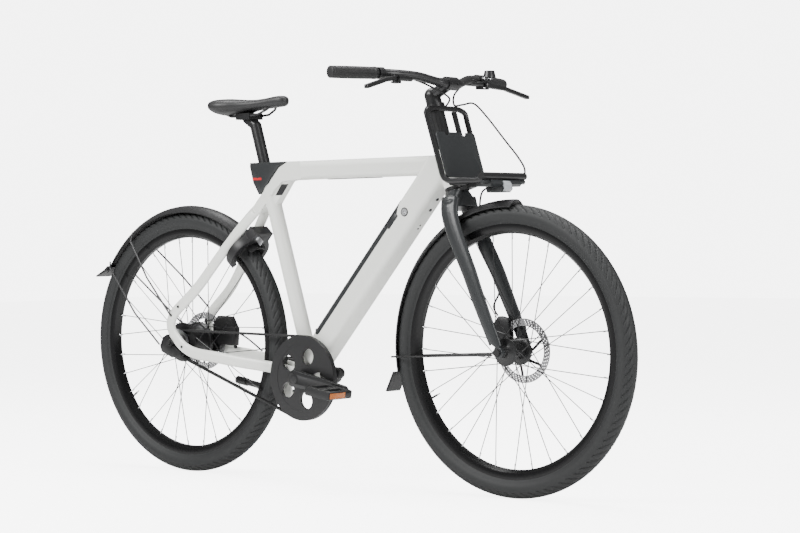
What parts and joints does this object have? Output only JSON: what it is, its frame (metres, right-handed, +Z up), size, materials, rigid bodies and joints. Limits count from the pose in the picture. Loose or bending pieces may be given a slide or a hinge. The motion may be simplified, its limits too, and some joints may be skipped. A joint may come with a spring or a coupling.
{
  "type": "city electric bicycle",
  "caption": "Step-over city e-bike with belt drive, mudguards, front rack and panel, ring lock and kickstand; wheels, steering, cranks, seatpost, battery and levers move.",
  "frame": {"origin": "on the ground, midway between the rearmost and foremost points of the tyres, on the bicycle's mid-plane", "axes": "+X forward (direction of travel), +Y to the rider's left, +Z up; the belt and the right crank are on the -Y side"},
  "size_m": [1.8437, 0.6954, 1.0709],
  "materials": {
    "frame_paint": "satin",
    "graphite_paint": "satin",
    "black_metal": "anodised satin",
    "black_plastic": "matte",
    "tyre": "matte",
    "rubber": "matte",
    "belt": "matte",
    "saddle_cover": "satin",
    "steel": "brushed",
    "silver": "satin",
    "red_lens": "gloss"
  },
  "bodies": {
    "frame": {"head_tube": "frame_paint", "top_tube": "frame_paint", "down_tube": "frame_paint", "seat_tube": "frame_paint", "bearing_cups": "black_metal", "seat_stays": "frame_paint", "chain_stays": "frame_paint", "dropouts": "black_metal", "frame_bolts": "black_metal", "tail_fairing": "graphite_paint", "rear_light": "red_lens", "rear_axle": "black_metal", "rear_fender": "black_plastic", "rear_caliper": "black_metal", "rear_hose": "rubber", "belt": "belt", "ring_lock": "black_plastic", "bb_cover": "black_plastic"},
    "battery": {"battery_pack": "black_plastic", "battery_cover": "graphite_paint"},
    "battery_latch": {"battery_latch": "graphite_paint"},
    "battery_lock": {"battery_lock": "silver"},
    "ring_lock_bolt": {"ring_lock_bolt": "steel"},
    "ring_lock_key": {"ring_lock_key": "silver"},
    "kickstand": {"kickstand_leg": "black_metal"},
    "seat": {"seatpost": "black_metal", "saddle_rails": "steel", "saddle": "saddle_cover"},
    "crank": {"spindles": "steel", "belt_ring": "black_metal", "crank_arms": "black_metal"},
    "pedal_right": {"pedal_right": "black_plastic"},
    "pedal_left": {"pedal_left": "black_plastic"},
    "rear_wheel": {"rear_tyre": "tyre", "rear_rim": "black_metal", "rear_spokes": "black_metal", "rear_hub": "black_metal", "rear_rotor": "steel"},
    "sprocket": {"rear_sprocket": "silver"},
    "steering": {"fork": "graphite_paint", "stem": "black_metal", "handlebar": "black_metal", "grips": "rubber", "brake_mounts": "black_metal", "bell": "black_metal", "front_hose": "rubber", "rack": "black_metal", "rack_panel": "graphite_paint", "headlamp": "graphite_paint", "front_fender": "black_plastic", "front_caliper": "black_metal", "front_axle": "black_metal"},
    "front_wheel": {"front_tyre": "tyre", "front_rim": "black_metal", "front_spokes": "black_metal", "front_hub": "black_metal", "front_rotor": "steel"},
    "lever_right": {"lever_right": "black_metal"},
    "lever_left": {"lever_left": "black_metal"},
    "bell_striker": {"bell_striker": "steel"}
  },
  "joints": [
    {"name": "steer", "type": "hinge", "parent": "frame", "child": "steering", "pos_m": [0.387, 0, 0.768], "axis": [-0.2924, 0, 0.9563], "range_deg": [-60, 60]},
    {"name": "front_wheel_spin", "type": "hinge", "parent": "steering", "child": "front_wheel", "pos_m": [0.561, 0, 0.361], "axis": [0, 1, 0], "continuous": true},
    {"name": "rear_wheel_spin", "type": "hinge", "parent": "frame", "child": "rear_wheel", "pos_m": [-0.561, 0, 0.361], "axis": [0, 1, 0], "continuous": true},
    {"name": "crank_spin", "type": "hinge", "parent": "frame", "child": "crank", "pos_m": [-0.095, 0, 0.2775], "axis": [0, 1, 0], "continuous": true},
    {"name": "sprocket_spin", "type": "hinge", "parent": "frame", "child": "sprocket", "pos_m": [-0.561, 0, 0.361], "axis": [0, 1, 0], "continuous": true},
    {"name": "pedal_right_spin", "type": "hinge", "parent": "crank", "child": "pedal_right", "pos_m": [0.07291, 0, 0.25091], "axis": [0, 1, 0], "continuous": true},
    {"name": "pedal_left_spin", "type": "hinge", "parent": "crank", "child": "pedal_left", "pos_m": [-0.26291, 0, 0.30409], "axis": [0, 1, 0], "continuous": true},
    {"name": "kickstand_swing", "type": "hinge", "parent": "frame", "child": "kickstand", "pos_m": [-0.231, 0.058, 0.222], "axis": [0.1971, -0.9804, 0], "range_deg": [0, 105]},
    {"name": "seatpost_slide", "type": "slide", "parent": "frame", "child": "seat", "axis": [-0.2874, 0, 0.9578], "range_m": [-0.08, 0.06]},
    {"name": "battery_swing", "type": "hinge", "parent": "frame", "child": "battery", "pos_m": [-0.06487, 0, 0.40326], "axis": [0, -1, 0], "range_deg": [0, 15]},
    {"name": "battery_latch_press", "type": "slide", "parent": "battery", "child": "battery_latch", "axis": [0, 1, 0], "range_m": [0, 0.002], "stiffness_N_per_m": 1500},
    {"name": "battery_lock_turn", "type": "hinge", "parent": "frame", "child": "battery_lock", "pos_m": [0.24714, -0.03, 0.70863], "axis": [0, -1, 0], "range_deg": [0, 90]},
    {"name": "ring_lock_bolt_turn", "type": "hinge", "parent": "frame", "child": "ring_lock_bolt", "pos_m": [-0.33617, 0, 0.6107], "axis": [-0.7431, 0, 0.6691], "range_deg": [0, 110], "stiffness_Nm_per_rad": 0.1},
    {"name": "ring_lock_key_turn", "type": "hinge", "parent": "frame", "child": "ring_lock_key", "pos_m": [-0.28116, -0.014, 0.6419], "axis": [-0.7431, 0, 0.6691], "range_deg": [0, 90]},
    {"name": "brake_lever_right", "type": "hinge", "parent": "steering", "child": "lever_right", "pos_m": [0.345, -0.186, 1.034], "axis": [0, 0, -1], "range_deg": [0, 14], "stiffness_Nm_per_rad": 2},
    {"name": "brake_lever_left", "type": "hinge", "parent": "steering", "child": "lever_left", "pos_m": [0.345, 0.186, 1.034], "axis": [0, 0, 1], "range_deg": [0, 14], "stiffness_Nm_per_rad": 2},
    {"name": "bell_thumb", "type": "hinge", "parent": "steering", "child": "bell_striker", "pos_m": [0.354, 0.188, 1.054], "axis": [0, 0, 1], "range_deg": [-25, 25], "stiffness_Nm_per_rad": 0.05}
  ],
  "couplings": [
    {"joint": "sprocket_spin", "follows": "crank_spin", "ratio": 3.2}
  ]
}
